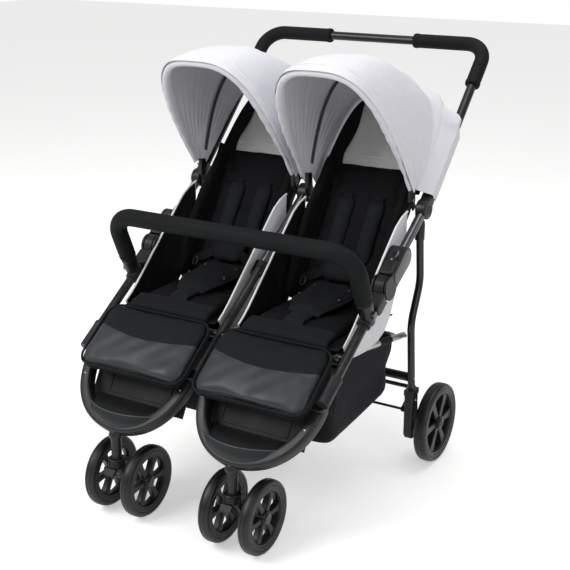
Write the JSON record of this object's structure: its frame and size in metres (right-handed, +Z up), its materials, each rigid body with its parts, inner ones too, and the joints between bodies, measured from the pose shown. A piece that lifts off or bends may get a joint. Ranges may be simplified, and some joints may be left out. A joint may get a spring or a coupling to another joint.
{
  "type": "double stroller",
  "caption": "Side-by-side folding stroller with canopies, harnessed reclining seats, calf rests, bumper bar, basket and swivel front wheels.",
  "frame": {"origin": "on the floor, under the middle of the stroller's box", "axes": "+Z up, the stroller faces -Y, its own left side is +X"},
  "size_m": [0.75, 1.0201, 1.0651],
  "materials": {
    "black_metal": "satin",
    "grey_tube": "satin anodised",
    "black_plastic": "moulded, satin",
    "grip_foam": "matt foam",
    "wheel": "matt, moulded",
    "black_fabric": "matt woven",
    "calf_fabric": "soft sheen, leatherette and cloth",
    "canopy_fabric": "matt woven",
    "panel_fabric": "matt woven",
    "basket_fabric": "matt woven"
  },
  "bodies": {
    "frame": {"main_tube_left": "black_metal", "main_tube_right": "black_metal", "centre_lower_tube": "black_metal", "fold_knuckle_left": "black_plastic", "fold_knuckle_right": "black_plastic", "front_module_left": "black_plastic", "front_module_right": "black_plastic", "front_cross_tube": "black_metal", "bumper_socket_left": "black_plastic", "bumper_socket_right": "black_plastic", "side_panel_left_outer": "panel_fabric", "side_panel_right_outer": "panel_fabric"},
    "seat_link": {"basket_rim": "grey_tube", "basket": "basket_fabric", "seat_support_tube": "black_metal", "seat_cushion_left": "black_fabric", "seat_cushion_right": "black_fabric", "side_panel_left_inner": "panel_fabric", "side_panel_right_inner": "panel_fabric"},
    "upper_frame": {"handle_tube": "black_metal", "grip_left": "grip_foam", "grip_right": "grip_foam", "hub_left": "black_plastic", "hub_right": "black_plastic", "upper_tube_left": "grey_tube", "upper_tube_right": "grey_tube", "centre_upper_tube": "grey_tube", "canopy_hood_left": "canopy_fabric", "canopy_hood_right": "canopy_fabric"},
    "rear_frame": {"rear_leg_left": "black_metal", "rear_leg_right": "black_metal", "rear_cross_tube": "black_metal", "wheel_mount_left": "black_plastic", "wheel_mount_right": "black_plastic"},
    "bumper": {"bumper_bar": "grip_foam"},
    "brake": {"brake_bar": "black_plastic"},
    "fold_latch_left": {"fold_latch_left": "black_plastic"},
    "bumper_button_left": {"bumper_button_left": "black_plastic"},
    "caster_left": {"caster_fork_left": "black_plastic"},
    "swivel_lock_left": {"swivel_lock_left": "black_plastic"},
    "front_wheel_left_outer": {"front_wheel_left_outer": "wheel"},
    "front_wheel_left_inner": {"front_wheel_left_inner": "wheel"},
    "rear_wheel_left": {"rear_wheel_left": "wheel"},
    "backrest_left": {"backrest_left": "black_fabric", "harness_left": "black_fabric"},
    "calf_rest_left": {"calf_rest_left": "calf_fabric"},
    "canopy_front_left": {"canopy_front_left": "canopy_fabric"},
    "canopy_middle_left": {"canopy_middle_left": "canopy_fabric"},
    "fold_latch_right": {"fold_latch_right": "black_plastic"},
    "bumper_button_right": {"bumper_button_right": "black_plastic"},
    "caster_right": {"caster_fork_right": "black_plastic"},
    "swivel_lock_right": {"swivel_lock_right": "black_plastic"},
    "front_wheel_right_outer": {"front_wheel_right_outer": "wheel"},
    "front_wheel_right_inner": {"front_wheel_right_inner": "wheel"},
    "rear_wheel_right": {"rear_wheel_right": "wheel"},
    "backrest_right": {"backrest_right": "black_fabric", "harness_right": "black_fabric"},
    "calf_rest_right": {"calf_rest_right": "calf_fabric"},
    "canopy_front_right": {"canopy_front_right": "canopy_fabric"},
    "canopy_middle_right": {"canopy_middle_right": "canopy_fabric"}
  },
  "joints": [
    {"name": "fold", "type": "hinge", "parent": "frame", "child": "upper_frame", "pos_m": [0, -0.078, 0.551], "axis": [1, 0, 0], "range_deg": [0, 90]},
    {"name": "rear_legs", "type": "hinge", "parent": "upper_frame", "child": "rear_frame", "pos_m": [0, 0.13214, 0.69009], "axis": [1, 0, 0], "range_deg": [-22.96, 0.1]},
    {"name": "seat_link_pivot", "type": "hinge", "parent": "frame", "child": "seat_link", "pos_m": [0, -0.26312, 0.42847], "axis": [1, 0, 0], "range_deg": [-0.1, 38.17]},
    {"name": "bumper_lift", "type": "slide", "parent": "frame", "child": "bumper", "axis": [0, -0.3937, 0.9192], "range_m": [0, 0.03]},
    {"name": "brake_pedal", "type": "hinge", "parent": "rear_frame", "child": "brake", "pos_m": [0, 0.121, 0.158], "axis": [-1, 0, 0], "range_deg": [0, 25]},
    {"name": "latch_slide_left", "type": "slide", "parent": "upper_frame", "child": "fold_latch_left", "axis": [0, 0.8339, 0.5519], "range_m": [0, 0.012], "stiffness_N_per_m": 60, "springref_m": -0.02},
    {"name": "button_press_left", "type": "slide", "parent": "frame", "child": "bumper_button_left", "axis": [-1, 0, 0], "range_m": [0, 0.0025], "stiffness_N_per_m": 400, "springref_m": -0.002},
    {"name": "caster_swivel_left", "type": "hinge", "parent": "frame", "child": "caster_left", "pos_m": [0.164, -0.46295, 0.18], "axis": [0, 0, 1], "continuous": true},
    {"name": "swivel_lock_tilt_left", "type": "hinge", "parent": "caster_left", "child": "swivel_lock_left", "pos_m": [0.164, -0.48445, 0.128], "axis": [-1, 0, 0], "range_deg": [0, 15]},
    {"name": "front_wheel_spin_left_outer", "type": "hinge", "parent": "caster_left", "child": "front_wheel_left_outer", "pos_m": [0.217, -0.42295, 0.0875], "axis": [1, 0, 0], "continuous": true},
    {"name": "front_wheel_spin_left_inner", "type": "hinge", "parent": "caster_left", "child": "front_wheel_left_inner", "pos_m": [0.111, -0.42295, 0.0875], "axis": [1, 0, 0], "continuous": true},
    {"name": "rear_wheel_spin_left", "type": "hinge", "parent": "rear_frame", "child": "rear_wheel_left", "pos_m": [0.358, 0.199, 0.1045], "axis": [1, 0, 0], "continuous": true},
    {"name": "backrest_recline_left", "type": "hinge", "parent": "upper_frame", "child": "backrest_left", "pos_m": [0.164, 0.018, 0.456], "axis": [-1, 0, 0], "range_deg": [0, 25]},
    {"name": "calf_rest_lift_left", "type": "hinge", "parent": "frame", "child": "calf_rest_left", "pos_m": [0.164, -0.26312, 0.42847], "axis": [-1, 0, 0], "range_deg": [0, 36]},
    {"name": "canopy_fold_left", "type": "hinge", "parent": "upper_frame", "child": "canopy_front_left", "pos_m": [0.164, 0.113, 0.713], "axis": [-1, 0, 0], "range_deg": [0, 28]},
    {"name": "canopy_middle_follow_left", "type": "hinge", "parent": "upper_frame", "child": "canopy_middle_left", "pos_m": [0.164, 0.113, 0.713], "axis": [-1, 0, 0], "range_deg": [-0.1, 14.1]},
    {"name": "latch_slide_right", "type": "slide", "parent": "upper_frame", "child": "fold_latch_right", "axis": [0, 0.8339, 0.5519], "range_m": [0, 0.012], "stiffness_N_per_m": 60, "springref_m": -0.02},
    {"name": "button_press_right", "type": "slide", "parent": "frame", "child": "bumper_button_right", "axis": [1, 0, 0], "range_m": [0, 0.0025], "stiffness_N_per_m": 400, "springref_m": -0.002},
    {"name": "caster_swivel_right", "type": "hinge", "parent": "frame", "child": "caster_right", "pos_m": [-0.164, -0.46295, 0.18], "axis": [0, 0, 1], "continuous": true},
    {"name": "swivel_lock_tilt_right", "type": "hinge", "parent": "caster_right", "child": "swivel_lock_right", "pos_m": [-0.164, -0.48445, 0.128], "axis": [-1, 0, 0], "range_deg": [0, 15]},
    {"name": "front_wheel_spin_right_outer", "type": "hinge", "parent": "caster_right", "child": "front_wheel_right_outer", "pos_m": [-0.217, -0.42295, 0.0875], "axis": [1, 0, 0], "continuous": true},
    {"name": "front_wheel_spin_right_inner", "type": "hinge", "parent": "caster_right", "child": "front_wheel_right_inner", "pos_m": [-0.111, -0.42295, 0.0875], "axis": [1, 0, 0], "continuous": true},
    {"name": "rear_wheel_spin_right", "type": "hinge", "parent": "rear_frame", "child": "rear_wheel_right", "pos_m": [-0.358, 0.199, 0.1045], "axis": [1, 0, 0], "continuous": true},
    {"name": "backrest_recline_right", "type": "hinge", "parent": "upper_frame", "child": "backrest_right", "pos_m": [-0.164, 0.018, 0.456], "axis": [-1, 0, 0], "range_deg": [0, 25]},
    {"name": "calf_rest_lift_right", "type": "hinge", "parent": "frame", "child": "calf_rest_right", "pos_m": [-0.164, -0.26312, 0.42847], "axis": [-1, 0, 0], "range_deg": [0, 36]},
    {"name": "canopy_fold_right", "type": "hinge", "parent": "upper_frame", "child": "canopy_front_right", "pos_m": [-0.164, 0.113, 0.713], "axis": [-1, 0, 0], "range_deg": [0, 28]},
    {"name": "canopy_middle_follow_right", "type": "hinge", "parent": "upper_frame", "child": "canopy_middle_right", "pos_m": [-0.164, 0.113, 0.713], "axis": [-1, 0, 0], "range_deg": [-0.1, 14.1]}
  ],
  "couplings": [
    {"joint": "rear_legs", "follows": "fold", "ratio": -0.254},
    {"joint": "seat_link_pivot", "follows": "fold", "ratio": 0.423},
    {"joint": "canopy_middle_follow_left", "follows": "canopy_fold_left", "ratio": 0.5},
    {"joint": "canopy_middle_follow_right", "follows": "canopy_fold_right", "ratio": 0.5}
  ]
}
